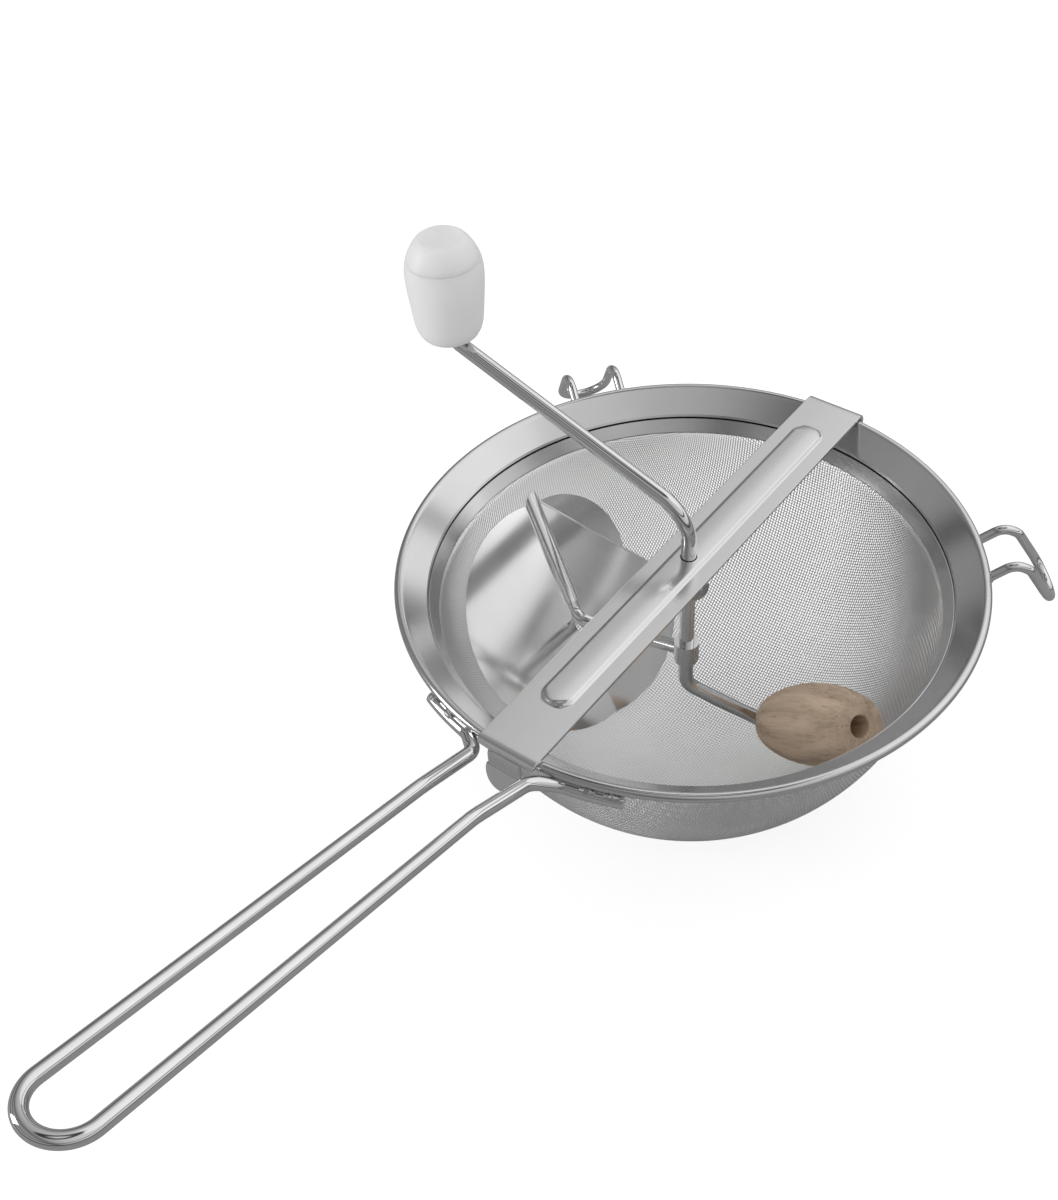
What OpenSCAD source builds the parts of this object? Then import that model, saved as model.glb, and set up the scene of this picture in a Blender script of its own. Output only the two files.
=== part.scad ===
// Food mill: mesh bowl in a rolled rim, wire handle and rests, clip-on
// crossbar, cranked rod with a wiping blade and a wooden barrel roller.
// Origin: crank axis in the plane of the rim bead. Handle towards -Y.

/* [Rim and bowl] */
// radius of the rolled rim bead, centre line
rim_r = 103.25; // [90:0.25:130]
// diameter of the rolled rim bead
bead_d = 3.5; // [3:0.1:5]
// thickness of the rim sheet
rim_t = 0.7; // [0.5:0.05:1]
// how far the wide band reaches in from the bead
band_in = 9.25; // [7:0.25:14]
// how far the wide band drops below the bead
band_drop = 6; // [4:0.25:10]
// slant of the narrow band, from the vertical
skirt_slant = 35; // [25:1:45]
// length of the narrow band
skirt_len = 6.7; // [5:0.1:9]
// thickness of the woven mesh
mesh_t = 0.7; // [0.5:0.05:0.9]
// pitch of the openings that stand for the weave
cell_pitch = 24; // [22:1:40]
// width of the strip between two openings
cell_strip = 4; // [2:0.5:8]

/* [Crossbar] */
// width of the crossbar
bar_w = 22.8; // [18:0.2:28]
// thickness of the crossbar sheet
bar_t = 1.6; // [1.2:0.1:2]
// width of the raised rib
rib_w = 12.6; // [8:0.2:14]
// height of the raised rib
rib_h = 1.3; // [0.6:0.1:1.6]
// width of the tongue at the clip end
tongue_w = 12.8; // [11:0.2:14]
// gap between the crossbar and the rim bead
seat_gap = 0.4; // [0.3:0.05:0.5]

/* [Crank] */
// diameter of the crank rod
rod_d = 5.5; // [4.5:0.1:6]
// height of the crank's first bend above the rim plane
elbow_z = 23.6; // [22:0.2:34]
// distance of the knob from the crank axis
crank_r = 102.3; // [85:0.2:115]
// rise of the arm at the knob, above the first bend
arm_rise = 35.6; // [15:0.1:40]

/* [Knob] */
// greatest diameter of the knob
knob_d = 28; // [26:0.2:34]
// height of the knob
knob_h = 39.2; // [36:0.2:46]

/* [Handle and rests] */
// diameter of the handle wire
handle_d = 5; // [4:0.1:6]
// half of the distance between the handle legs at the rim
leg_half = 10.3; // [10:0.1:12]
// reach of the handle from the crank axis
handle_reach = 277.15; // [200:0.5:320]
// slope of the handle
handle_slope = 13.2; // [8:0.2:18]
// diameter of the rest wire
rest_d = 3.5; // [3:0.1:4]
// half width of a rest
rest_half = 9.5; // [8:0.1:12]
// angle of the rests from the far end of the crossbar
rest_angle = 53; // [45:1:62]

/* [Blade and roller] */
// thickness of the blade sheet
blade_t = 0.8; // [0.6:0.05:1]
// diameter of the blade arm wire
arm_d = 5.2; // [4:0.1:5.6]
// largest diameter of the roller
roller_d = 31; // [28:0.2:32]
// diameter of the roller at its ends
roller_end_d = 21; // [19:0.2:24]
// length of the roller
roller_len = 50; // [44:0.5:52]

/* [Hidden] */
$fn = 64;
eps = 0.01;
play = 0.3;

// rim and bowl, derived
bead_r = bead_d / 2;
crease = [rim_r - band_in, -band_drop];
sk_in = [-sin(skirt_slant), -cos(skirt_slant)];
sk_out = [cos(skirt_slant), -sin(skirt_slant)];
clamp_t = 0.6;
clamp_top = 1.6;
mesh_flare = 2.1;
flare_mid = crease + sk_in * (skirt_len + mesh_flare) + sk_out * (clamp_t + mesh_t / 2);
wall_dip = 2.5;
bowl_z = flare_mid[1] + wall_dip;
bowl_mid = norm([flare_mid[0], wall_dip]);
bowl_in = bowl_mid - mesh_t / 2;
cell_turn = cell_pitch / bowl_mid * 180 / PI;
cell_half = (cell_pitch - cell_strip) / 2;
cell_rows = floor((88 - cell_half / bowl_mid * 180 / PI) / cell_turn);
band_reach = norm([band_in, band_drop]);
band_turn = asin(bead_r / band_reach);
band_slope = atan2(band_drop, band_in) + band_turn;
band_len = sqrt(band_reach * band_reach - bead_r * bead_r);
roll_slot = 0.5;

// crossbar, derived
hook_in = bead_r + seat_gap;
bar_z = hook_in;
bar_top = bar_z + bar_t;
hook_end = 80;
shaft_hole = rod_d + 2 * play;
near_y = -rim_r - 0.75;
rib_near_gap = 20;
rib_far_gap = 15.5;
drop_r = 2.6;
drop_out = drop_r + bar_t;
clip_cut = 1.7;
tongue_len = 4.5;
tab_straight = 0.4;
tab_lean = 24;
tab_w = tongue_w + 1.6;

// spring group, derived
washer_d = 15;
washer_t = 1;
spring_len = 10.4;
spring_wire = 1.2;
spring_r = 4.9;
spring_turns = 4.5;
air = 0.05;
spring_top = bar_z - washer_t - air;
thrust_top = spring_top - spring_len;
ear_top = thrust_top - washer_t - play;
ear_h = 4;
ear_span = 10.4;

// crank path, derived
arm_end_z = elbow_z + arm_rise;
foot_z = -62;
roller_dir = unit([37.2, -9.1, 31]);
roller_mid_dir = unit([52.3, 10.8, -52.2]);
roller_r = roller_d / 2;
roller_clear = 0.6;
roller_mid = [0, 0, bowl_z] + roller_mid_dir * (bowl_in - roller_clear - roller_r);
roller_in = roller_mid - roller_dir * roller_len / 2;
roller_out = roller_mid + roller_dir * roller_len / 2;
foot_gap = 8.5;
foot_turn = roller_in - roller_dir * foot_gap;
cup_d = 8.4;
cup_depth = 11;
axle_end = roller_out - roller_dir * (cup_depth + 1);
knob_z = arm_end_z + 2.4;
seam_t = knob_h - 8.2;
pin_top = knob_z + seam_t - 3.5;
nut_z = knob_z + seam_t - 6;

// handle path, derived
foot_out = bead_r + handle_d / 2 - 0.06;
foot_tilt = 75;
foot_run = 4.6;
corner_x = 11.3;
corner_y = -rim_r - 5.95;
corner_z = -1.3;
foot_r = rim_r + foot_out * cos(foot_tilt);
foot_dz = -foot_out * sin(foot_tilt);
foot_from = 22;
foot_to = 13;
leg_spread = 0.0068;
join_y = corner_y - 26;
tip_z = 41.57;
leg_drop = tan(handle_slope);

// blade, derived
blade_rim = bowl_in - 0.95;
blade_polar = 51;
blade_span = 30.7;
blade_plane = blade_rim * cos(blade_span);
blade_edge = blade_rim * sin(blade_span);
rib_from = 156.23;
rib_over = 0.73;
rib_top = (blade_edge + rib_over) * [cos(rib_from), sin(rib_from)];
rib_turn = -14.4;
wing_tilt = 8;
ridge_from = 3.6;
ridge_turn = 42;
ridge_fold = 5;
lobe_r = 26.8;
lobe_mid = 21.3;
lobe_drop = 16;
blade_rib_d = arm_d + 2 * blade_t;
arm_from = 11;
arm_seat = 0.02;
rib_len = 42;
arm_corner = 50;
collar_z = -43;
collar_h = 9;
collar_d = 9.4;

// ---------- helpers ----------
function unit(v) = v / norm(v);
function lerp(a, b, f) = a + (b - a) * f;

// a point of the blade's own frame, in the common frame
function from_blade(p) = let (c = cos(blade_polar), s = sin(blade_polar))
    [p[0] * c + p[2] * s, p[1], bowl_z - p[0] * s + p[2] * c];

// a point x mm along the blade's rib, in the common frame
function on_rib(x) = from_blade([rib_top[0] + x * cos(rib_turn),
    rib_top[1] + x * sin(rib_turn), -blade_plane]);

// places a child whose +Z is to run along v, from p
module along(p, v) {
    w = unit(v);
    h = abs(w[2]) > 0.99 ? [1, 0, 0] : [0, 0, 1];
    u = unit(cross(h, w));
    q = cross(w, u);
    multmatrix([[u[0], q[0], w[0], p[0]], [u[1], q[1], w[1], p[1]], [u[2], q[2], w[2], p[2]], [0, 0, 0, 1]])
        children();
}

// a straight length of wire, running a little into the bends at its ends
module rod(a, b, d, lap_a = 0, lap_b = 0) {
    u = unit(b - a);
    along(a - u * lap_a, u) cylinder(h = norm(b - a) + lap_a + lap_b, d = d);
}
lap = 0.3;
bend_less = 0.04;

// how much of each straight length a bend takes up
function bend_cut(a, v, b, r) = r * tan(acos(unit(v - a) * unit(b - v)) / 2);

// a bend of radius r at corner v, coming from a and going to b
module bend(a, v, b, r, d) {
    u = unit(v - a);
    w = unit(b - v);
    n = unit(w - (w * u) * u);
    z = cross(u, n);
    k = v - u * bend_cut(a, v, b, r) + n * r;
    multmatrix([[-n[0], u[0], z[0], k[0]], [-n[1], u[1], z[1], k[1]], [-n[2], u[2], z[2], k[2]], [0, 0, 0, 1]])
        rotate_extrude(angle = acos(u * w)) translate([r, 0]) circle(d = d);
}

// a wire through the points p, with bend radius r[i] at point i
module bent_wire(p, r, d) {
    last = len(p) - 1;
    for (i = [0 : last - 1]) {
        cut_a = i == 0 ? 0 : bend_cut(p[i - 1], p[i], p[i + 1], r[i]);
        cut_b = i == last - 1 ? 0 : bend_cut(p[i], p[i + 1], p[i + 2], r[i + 1]);
        u = unit(p[i + 1] - p[i]);
        rod(p[i] + u * cut_a, p[i + 1] - u * cut_b, d, i == 0 ? 0 : lap, i == last - 1 ? 0 : lap);
    }
    for (i = [1 : last - 1]) bend(p[i - 1], p[i], p[i + 1], r[i], d - bend_less);
}

// a ring sector of sheet, from angle a to angle b
module strip_arc(ri, ro, a, b) {
    intersection() {
        difference() {
            circle(r = ro);
            circle(r = ri);
        }
        polygon([[0, 0], 3 * ro * [cos(a), sin(a)], 3 * ro * [cos((a + b) / 2), sin((a + b) / 2)],
            3 * ro * [cos(b), sin(b)]]);
    }
}

// the solid ring that the rolled bead fills
module bead_space() {
    rotate_extrude($fn = 128) translate([rim_r, 0]) circle(r = bead_r, $fn = 32);
}

// ---------- rim, mesh ----------
module rim_band() {
    color([0.78, 0.79, 0.8])
    rotate_extrude($fn = 128) {
        difference() {
            union() {
                translate([rim_r, 0]) circle(r = bead_r, $fn = 32);
                sheet_section();
            }
            translate([rim_r, 0]) circle(r = bead_r - rim_t, $fn = 32);
            translate([rim_r - bead_r / 2, -bead_r * 1.2]) square([roll_slot, bead_r]);
        }
    }
}

// wide band from the bead to the crease, then the skirt outside the mesh
module sheet_section() {
    groove = crease + sk_out * (clamp_t + mesh_t);
    way = [cos(band_slope), sin(band_slope)];
    under = [sin(band_slope), -cos(band_slope)] * rim_t;
    polygon([crease, crease + sk_in * 0.9, groove + sk_in * clamp_top, groove + sk_in * skirt_len,
        groove + sk_in * skirt_len + sk_out * rim_t, groove + sk_out * rim_t + sk_in * 0.8,
        crease + way * 1.4 + under, crease + way * band_len + under, crease + way * band_len]);
}

module mesh_clamp_ring() {
    color([0.7, 0.71, 0.72])
    rotate_extrude($fn = 128) {
        a = crease + sk_in * clamp_top;
        b = crease + sk_in * (skirt_len + 0.4);
        polygon([a, b, b + sk_out * clamp_t * 0.6 + sk_in * 0.3, b + sk_out * clamp_t,
            a + sk_out * clamp_t]);
    }
}

module mesh_wall() {
    rotate_extrude($fn = 128) {
        a = crease + sk_in * clamp_top + sk_out * clamp_t;
        b = a + sk_in * (skirt_len + mesh_flare - clamp_top);
        polygon([a, b, b + sk_out * mesh_t, a + sk_out * mesh_t]);
        intersection() {
            translate([0, bowl_z]) difference() {
                circle(r = bowl_in + mesh_t, $fn = 128);
                circle(r = bowl_in, $fn = 128);
            }
            translate([0, bowl_z - 2 * bowl_mid]) square([2 * bowl_mid, 2 * bowl_mid - wall_dip + 0.35]);
        }
    }
}

// half width of an opening at angle t from the bowl's lowest point, where n of them go round
function cell_w(t, n) = PI * bowl_mid * sin(t) / n - cell_strip / 2;

// a tapered cutter through the wall at angle t, wider towards the rim
module mesh_opening(t, n) {
    a = cell_half / bowl_mid * 180 / PI;
    translate([0, 0, bowl_z]) rotate([0, -t, 0]) translate([0, 0, -bowl_mid - 3]) linear_extrude(6)
        polygon([[-cell_half, -cell_w(t - a, n)], [cell_half, -cell_w(t + a, n)],
            [cell_half, cell_w(t + a, n)], [-cell_half, cell_w(t - a, n)]]);
}

// the woven mesh as a shell with rings of plain openings, from one at the bottom to the rim
module mesh_bowl() {
    color([0.8, 0.81, 0.82])
    difference() {
        mesh_wall();
        translate([0, 0, bowl_z - bowl_mid - 3]) cylinder(r = cell_half, h = 6);
        for (row = [1 : cell_rows]) {
            n = floor(2 * PI * bowl_mid * sin(row * cell_turn) / cell_pitch);
            for (i = [0 : n - 1]) rotate([0, 0, (i + 0.5) * 360 / n]) mesh_opening(row * cell_turn, n);
        }
    }
}

// ---------- handle and rests ----------
leg_y0 = -110;
function leg_x(y) = leg_half - 0.06 + (leg_y0 - y) * leg_spread;
function leg_z(y) = tip_z + (y + handle_reach) * -leg_drop;
function leg_point(y) = [leg_x(y), y, leg_z(y)];

// half of the handle: foot along the bead, bend, leg
module handle_half() {
    rotate([0, 0, -90 + foot_to]) rotate_extrude(angle = foot_from - foot_to, $fn = 128)
        translate([foot_r, foot_dz]) circle(d = handle_d - bend_less);
    start = [foot_r * sin(foot_to), -foot_r * cos(foot_to), foot_dz];
    way = [-cos(foot_to), -sin(foot_to), 0];
    bent_wire([start - way * lap, start + way * foot_run, [corner_x, corner_y, corner_z], leg_point(join_y),
        leg_point(-handle_reach - lap)], [0, 8, 8, 40, 0], handle_d);
    for (a = [foot_from - 1.5, (foot_from + foot_to) / 2]) rotate([0, 0, a - 90]) weld_bead(2);
}

// a short run of weld in the corner under the rim bead, centred on +X
module weld_bead(half_turn) {
    rotate([0, 0, -half_turn]) rotate_extrude(angle = 2 * half_turn)
        translate([rim_r + bead_r * 1.1, -bead_r * 1.1]) circle(d = weld_d);
}
weld_d = 2.6;

module handle_loop() {
    color([0.76, 0.77, 0.78])
    difference() {
        union() {
            handle_half();
            mirror([1, 0, 0]) handle_half();
            tip = leg_point(-handle_reach);
            turn = atan(leg_spread * cos(handle_slope));
            tip_r = tip[0] / cos(turn);
            translate([0, tip[1], tip[2]]) rotate([-handle_slope, 0, 0])
                translate([0, -tip_r * sin(turn), 0]) rotate([0, 0, 180 - turn])
                rotate_extrude(angle = 180 + 2 * turn)
                translate([tip_r, 0]) circle(d = handle_d - bend_less);
        }
        bead_space();
    }
}

// rest outline in its own radial plane: distance from the axis, height
rest_foot = [1.05, -1.6];
rest_rise = [9.15, 4.2];
rest_crest = [14.95, 1.2];
rest_end = [21.45, -9.2];
rest_path = [for (q = [rest_foot, rest_rise, rest_crest, rest_end]) [rim_r + q[0], q[1]]];

module rest_leg(side) {
    p = [for (q = rest_path) [q[0], side * rest_half, q[1]]];
    bent_wire([p[0], p[1], p[2], p[3] + unit(p[3] - p[2]) * lap], [0, 6, 6, 0], rest_d);
}

module rest_hook() {
    tilt = atan2(rest_path[2][1] - rest_path[3][1], rest_path[3][0] - rest_path[2][0]);
    difference() {
        union() {
            rest_leg(1);
            rest_leg(-1);
            translate([rest_path[3][0], 0, rest_path[3][1]]) rotate([0, tilt, 0])
                rotate([0, 0, -90]) rotate_extrude(angle = 180)
                translate([rest_half, 0]) circle(d = rest_d - bend_less);
            for (s = [-1, 1]) rotate([0, 0, s * asin(rest_half / rim_r)]) weld_bead(1);
        }
        bead_space();
    }
}

module rest_hook_left() {
    color([0.76, 0.77, 0.78]) rotate([0, 0, 90 + rest_angle]) rest_hook();
}

module rest_hook_right() {
    color([0.76, 0.77, 0.78]) rotate([0, 0, 90 - rest_angle]) rest_hook();
}

// ---------- crossbar ----------
module bar_plan() {
    translate([-bar_w / 2, near_y]) square([bar_w, rim_r - near_y]);
}

rib_near = -rim_r + rib_near_gap;
rib_far = rim_r - rib_far_gap;

// a long low lens, w wide and h high at height z, running from rib_near to rib_far
module lens(w, h, z, below) {
    crown_r = (w * w / 4 + h * h) / (2 * h);
    from = rib_near + w / 2;
    to = rib_far - w / 2;
    intersection() {
        translate([0, 0, z + h - crown_r]) union() {
            translate([0, to, 0]) rotate([90, 0, 0]) cylinder(r = crown_r, h = to - from, $fn = 128);
            for (y = [from, to]) translate([0, y, 0]) rotate([0, 90, 0])
                sphere(r = crown_r - bend_less / 2, $fn = 128);
        }
        translate([-w, rib_near - w, z - below]) cube([2 * w, rib_far - rib_near + 2 * w, below + 2 * h]);
    }
}

// extrudes a Y-Z outline across the bar
module across(w) {
    translate([-w / 2, 0, 0]) rotate([90, 0, 90]) linear_extrude(w) children();
}

module crossbar() {
    color([0.75, 0.76, 0.77])
    difference() {
        union() {
            translate([0, 0, bar_z]) linear_extrude(bar_t) bar_plan();
            lens(rib_w, rib_h, bar_top, bar_t / 4);
            across(bar_w) translate([rim_r, 0]) strip_arc(hook_in, hook_in + bar_t, -hook_end, 90);
            across(bar_w) translate([near_y, bar_top - drop_out]) strip_arc(drop_r, drop_out, 90, 180);
            clip_tongue();
        }
        translate([0, 0, bar_z - 1]) cylinder(d = shaft_hole, h = bar_t + rib_h + 2);
        for (s = [-1, 1]) translate([s * (tongue_w + bar_w) / 2 - bar_w / 2, near_y - 2 * drop_out, -drop_out])
            cube([bar_w, 2 * drop_out, drop_out + clip_cut]);
        difference() {
            lens(rib_w - 3.4, rib_h - 0.15, bar_z, bar_t);
            translate([0, 0, bar_z - 2]) cylinder(d = washer_d + 2, h = 4);
        }
    }
}

// tongue down outside the bead, then the leaning thumb tab with a round end
module clip_tongue() {
    y0 = near_y - drop_out;
    z0 = bar_top - drop_out;
    corner = [y0 + bar_t, z0 - tongue_len];
    way = [-sin(tab_lean), -cos(tab_lean)];
    out = [-cos(tab_lean), sin(tab_lean)] * bar_t;
    straight = tab_straight;
    across(tongue_w) polygon([[y0, z0], [y0 + 0.02, z0 + 0.1], [y0 + bar_t - 0.02, z0 + 0.1], [y0 + bar_t, z0],
        corner, corner + way * straight, corner + way * straight + out,
        corner + [-bar_t, bar_t * tan(tab_lean / 2)]]);
    round_at = corner + way * straight;
    translate([0, round_at[0], round_at[1]]) rotate([90 - tab_lean, 0, 0]) intersection() {
        cylinder(d = tab_w, h = bar_t);
        translate([-tab_w, -tab_w, -1]) cube([2 * tab_w, tab_w + straight, bar_t + 2]);
    }
}

module upper_washer() {
    color([0.72, 0.73, 0.74])
    translate([0, 0, bar_z - washer_t]) difference() {
        cylinder(d = washer_d, h = washer_t);
        translate([0, 0, -1]) cylinder(d = shaft_hole, h = washer_t + 2);
    }
}

// ---------- spring group ----------
coil_sides = 10;
coil_steps = 18;
coil_n = spring_turns * coil_steps;

// height of the coil's centre line after i steps: closed end turns
function coil_z(i) = let (f = i / coil_n, e = 0.75 / spring_turns)
    lerp(spring_wire / 2, spring_len - spring_wire / 2,
        f < e ? f * 0.45 : f > 1 - e ? 1 - (1 - f) * 0.45 : lerp(e * 0.45, 1 - e * 0.45, (f - e) / (1 - 2 * e)));

module compression_spring() {
    pts = [for (i = [0 : coil_n], k = [0 : coil_sides - 1])
        let (a = 360 * i / coil_steps, b = 360 * k / coil_sides,
            r = spring_r + spring_wire / 2 * cos(b), z = coil_z(i) + spring_wire / 2 * sin(b) * 0.98)
        [r * cos(a), r * sin(a), thrust_top + z]];
    sides = [for (i = [0 : coil_n - 1], k = [0 : coil_sides - 1])
        let (n = coil_sides, m = (k + 1) % coil_sides)
        [i * n + k, (i + 1) * n + k, (i + 1) * n + m, i * n + m]];
    cap_a = [for (k = [0 : coil_sides - 1]) k];
    cap_b = [for (k = [coil_sides - 1 : -1 : 0]) coil_n * coil_sides + k];
    color([0.6, 0.61, 0.62]) polyhedron(pts, concat([cap_a], sides, [cap_b]));
}

module thrust_washer() {
    color([0.72, 0.73, 0.74])
    translate([0, 0, thrust_top - washer_t]) difference() {
        cylinder(d = washer_d, h = washer_t);
        translate([0, 0, -1]) cylinder(d = shaft_hole, h = washer_t + 2);
    }
}

// ---------- crank ----------
module crank_rod() {
    pin = [-crank_r, 0, pin_top];
    color([0.78, 0.79, 0.8]) {
        bent_wire([pin, [-crank_r, 0, arm_end_z], [0, 0, elbow_z], [0, 0, foot_z], foot_turn, axle_end],
            [0, 7, 17, 9, 6, 0], rod_d);
        rod_ears();
    }
}

// the flattened ears that carry the thrust washer
module rod_ears() {
    translate([0, 0, ear_top - ear_h]) rotate([90, 0, 0]) linear_extrude(1.9, center = true)
        polygon([[-rod_d / 2 + 0.2, 0], [rod_d / 2 - 0.2, 0], [ear_span / 2, ear_h - 1.6], [ear_span / 2, ear_h],
            [-ear_span / 2, ear_h], [-ear_span / 2, ear_h - 1.6]]);
}

// ---------- blade ----------
module blade_frame() {
    translate([0, 0, bowl_z]) rotate([0, blade_polar, 0]) children();
}

module rib_frame() {
    translate([rib_top[0], rib_top[1], -blade_plane]) rotate([0, 0, rib_turn]) children();
}

far = 130;

// half of the sheet disc, on the near side of the rib
module blade_near() {
    translate([-20, -far, -blade_t / 2]) cube([far, far, blade_t]);
}

// the panel between the rib and the diverging ridge
module blade_gusset() {
    rotate([wing_tilt, 0, 0]) translate([0, 0, -blade_t / 2]) linear_extrude(blade_t)
        polygon([[-ridge_from / tan(ridge_turn), 0], [far, ridge_from + far * tan(ridge_turn)], [far, 0]]);
}

// the round lobe beyond the ridge, with the rounded ridge itself
module blade_lobe() {
    rotate([wing_tilt, 0, 0]) translate([0, ridge_from, 0]) rotate([0, 0, ridge_turn]) {
        translate([-30, 0, 0]) rotate([0, 90, 0]) cylinder(d = blade_t * 1.5, h = far);
        rotate([ridge_fold, 0, 0]) intersection() {
            translate([-30, 0, -blade_t / 2]) cube([far, far / 2, blade_t]);
            translate([lobe_mid, -lobe_drop, -blade_t]) cylinder(r = lobe_r, h = 2 * blade_t, $fn = 96);
        }
    }
}

module blade() {
    color([0.85, 0.86, 0.87])
    blade_frame() difference() {
        intersection() {
            sphere(r = blade_rim, $fn = 96);
            rib_frame() union() {
                blade_near();
                blade_gusset();
                blade_lobe();
                translate([-20, 0, 0]) rotate([0, 90, 0]) cylinder(d = blade_rib_d, h = 20 + rib_len);
                translate([rib_len - 1, 0, 0]) rotate([0, 90, 0]) cylinder(d = blade_t * 1.5, h = far);
            }
        }
        rib_frame() translate([-21, 0, 0]) rotate([0, 90, 0])
            cylinder(d = arm_d + arm_seat, h = 21 + arm_corner + arm_d);
        rib_frame() translate([-21, -blade_rib_d, -blade_rib_d - blade_t / 2])
            cube([far + 2, 2 * blade_rib_d, blade_rib_d]);
    }
}

module blade_arm() {
    color([0.74, 0.75, 0.76])
    difference() {
        union() {
            bent_wire([on_rib(arm_from), on_rib(arm_corner), [0, 0, collar_z]], [0, 8, 0], arm_d);
            translate([0, 0, collar_z - collar_h / 2]) cylinder(d = collar_d, h = collar_h);
        }
        translate([0, 0, collar_z - collar_h]) cylinder(d = rod_d, h = 2 * collar_h);
    }
}

// ---------- roller ----------
module roller() {
    half = roller_len / 2;
    sag = (roller_d - roller_end_d) / 2;
    arc_r = (half * half + sag * sag) / (2 * sag);
    edge = 1.2;
    color([0.7, 0.58, 0.45])
    along(roller_in, roller_dir) difference() {
        rotate_extrude($fn = 96) intersection() {
            translate([roller_r - arc_r, half]) circle(r = arc_r, $fn = 256);
            polygon([[0, 0], [roller_end_d / 2 - edge, 0], [roller_end_d / 2 + edge, 2 * edge], [roller_d, 2 * edge],
                [roller_d, roller_len - 2 * edge], [roller_end_d / 2 + edge, roller_len - 2 * edge],
                [roller_end_d / 2 - edge, roller_len], [0, roller_len]]);
        }
        translate([0, 0, -1]) cylinder(d = rod_d + 2 * play, h = roller_len + 2);
        translate([0, 0, roller_len - cup_depth]) cylinder(d = cup_d, h = roller_len);
    }
}

// ---------- knob ----------
grip_wall = 2.2;
cave_d = 15;
cave_from = seam_t - 7.5;
plug_d = 18;
plug_h = 2.4;
core_in = 5.4;
core_out = 8.6;
core_h = cave_from - 3.5;

// outline of the knob: share of the height, share of the greatest radius
knob_shape = [[0, 0.69], [0.02, 0.745], [0.06, 0.81], [0.12, 0.866], [0.2, 0.9], [0.29, 0.925], [0.4, 0.957],
    [0.52, 0.985], [0.62, 1], [0.7, 0.992], [0.76, 0.965], [0.795, 0.936], [0.85, 0.875], [0.9, 0.803],
    [0.95, 0.71], [0.985, 0.61], [1, 0.53]];
function knob_pt(q) = [q[1] * knob_d / 2, q[0] * knob_h];

module knob_section(from, to) {
    intersection() {
        polygon(concat([[0, 0]], [for (q = knob_shape) knob_pt(q)], [[0, knob_h]]));
        translate([0, from]) square([knob_d, to - from]);
    }
}

module knob_grip() {
    color([0.9, 0.9, 0.88])
    translate([-crank_r, 0, knob_z]) difference() {
        rotate_extrude() knob_section(0, seam_t);
        translate([0, 0, -1]) cylinder(d = rod_d + 2 * play, h = knob_h);
        translate([0, 0, -eps]) cylinder(d1 = rod_d + 2.6, d2 = rod_d + 2 * play, h = 3);
        translate([0, 0, cave_from]) cylinder(d = cave_d, h = knob_h);
        translate([0, 0, seam_t - plug_h - 0.1]) cylinder(d = plug_d, h = knob_h);
        difference() {
            translate([0, 0, -1]) cylinder(r = core_out, h = core_h + 1);
            translate([0, 0, -2]) cylinder(r = core_in, h = core_h + 3);
            for (a = [0, 90]) rotate([0, 0, a + 45]) translate([-core_out, -0.8, -2]) cube([2 * core_out, 1.6, core_h + 3]);
        }
    }
}

module knob_cap() {
    dish_r = 18;
    dish_deep = 1.9;
    color([0.9, 0.9, 0.88])
    translate([-crank_r, 0, knob_z]) difference() {
        union() {
            rotate_extrude() knob_section(seam_t, knob_h);
            translate([0, 0, seam_t - plug_h]) cylinder(d = plug_d, h = plug_h + eps);
        }
        translate([0, 0, knob_h + dish_r - dish_deep]) sphere(r = dish_r);
        translate([0, 0, seam_t - plug_h - 1]) cylinder(d = plug_d - 2 * grip_wall, h = plug_h + 3);
    }
}

module knob_push_nut() {
    teeth = 6;
    color([0.65, 0.66, 0.67])
    translate([-crank_r, 0, nut_z]) difference() {
        cylinder(d = 12, h = 0.8);
        translate([0, 0, -1]) cylinder(d = rod_d, h = 3);
        for (i = [1 : teeth]) rotate([0, 0, i * 360 / teeth])
            translate([0, -0.4, -1]) cube([4.2, 0.8, 3]);
    }
}

// ---------- placing ----------
rim_band();
mesh_clamp_ring();
mesh_bowl();
handle_loop();
rest_hook_left();
rest_hook_right();
crossbar();
upper_washer();
compression_spring();
thrust_washer();
crank_rod();
blade_arm();
blade();
roller();
knob_grip();
knob_cap();
knob_push_nut();
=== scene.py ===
"""Food mill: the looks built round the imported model. Lengths are in millimetres until a mesh is made."""
import math
import bpy
import bmesh
import numpy as np
from mathutils import Matrix, Vector


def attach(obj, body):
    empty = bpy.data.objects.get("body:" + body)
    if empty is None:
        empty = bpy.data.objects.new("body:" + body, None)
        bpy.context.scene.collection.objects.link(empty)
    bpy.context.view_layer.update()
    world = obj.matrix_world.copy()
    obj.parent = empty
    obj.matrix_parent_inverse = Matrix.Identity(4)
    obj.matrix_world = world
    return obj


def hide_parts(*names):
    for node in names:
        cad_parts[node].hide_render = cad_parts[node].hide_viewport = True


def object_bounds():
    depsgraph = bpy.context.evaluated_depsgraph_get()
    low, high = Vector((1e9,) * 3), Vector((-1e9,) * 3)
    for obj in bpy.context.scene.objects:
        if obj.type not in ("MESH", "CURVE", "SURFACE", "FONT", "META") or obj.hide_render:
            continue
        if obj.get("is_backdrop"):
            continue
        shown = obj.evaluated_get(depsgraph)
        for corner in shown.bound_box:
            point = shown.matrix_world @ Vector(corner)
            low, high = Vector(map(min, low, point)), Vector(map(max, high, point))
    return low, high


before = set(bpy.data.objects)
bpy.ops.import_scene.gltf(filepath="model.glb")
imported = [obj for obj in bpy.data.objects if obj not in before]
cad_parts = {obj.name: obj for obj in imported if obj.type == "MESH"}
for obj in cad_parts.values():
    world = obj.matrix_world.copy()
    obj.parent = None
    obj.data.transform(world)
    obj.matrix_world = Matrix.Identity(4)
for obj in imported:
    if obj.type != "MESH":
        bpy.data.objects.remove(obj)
cad_box = [[float(x) for x in v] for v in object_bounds()]

MM = 0.001

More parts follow.
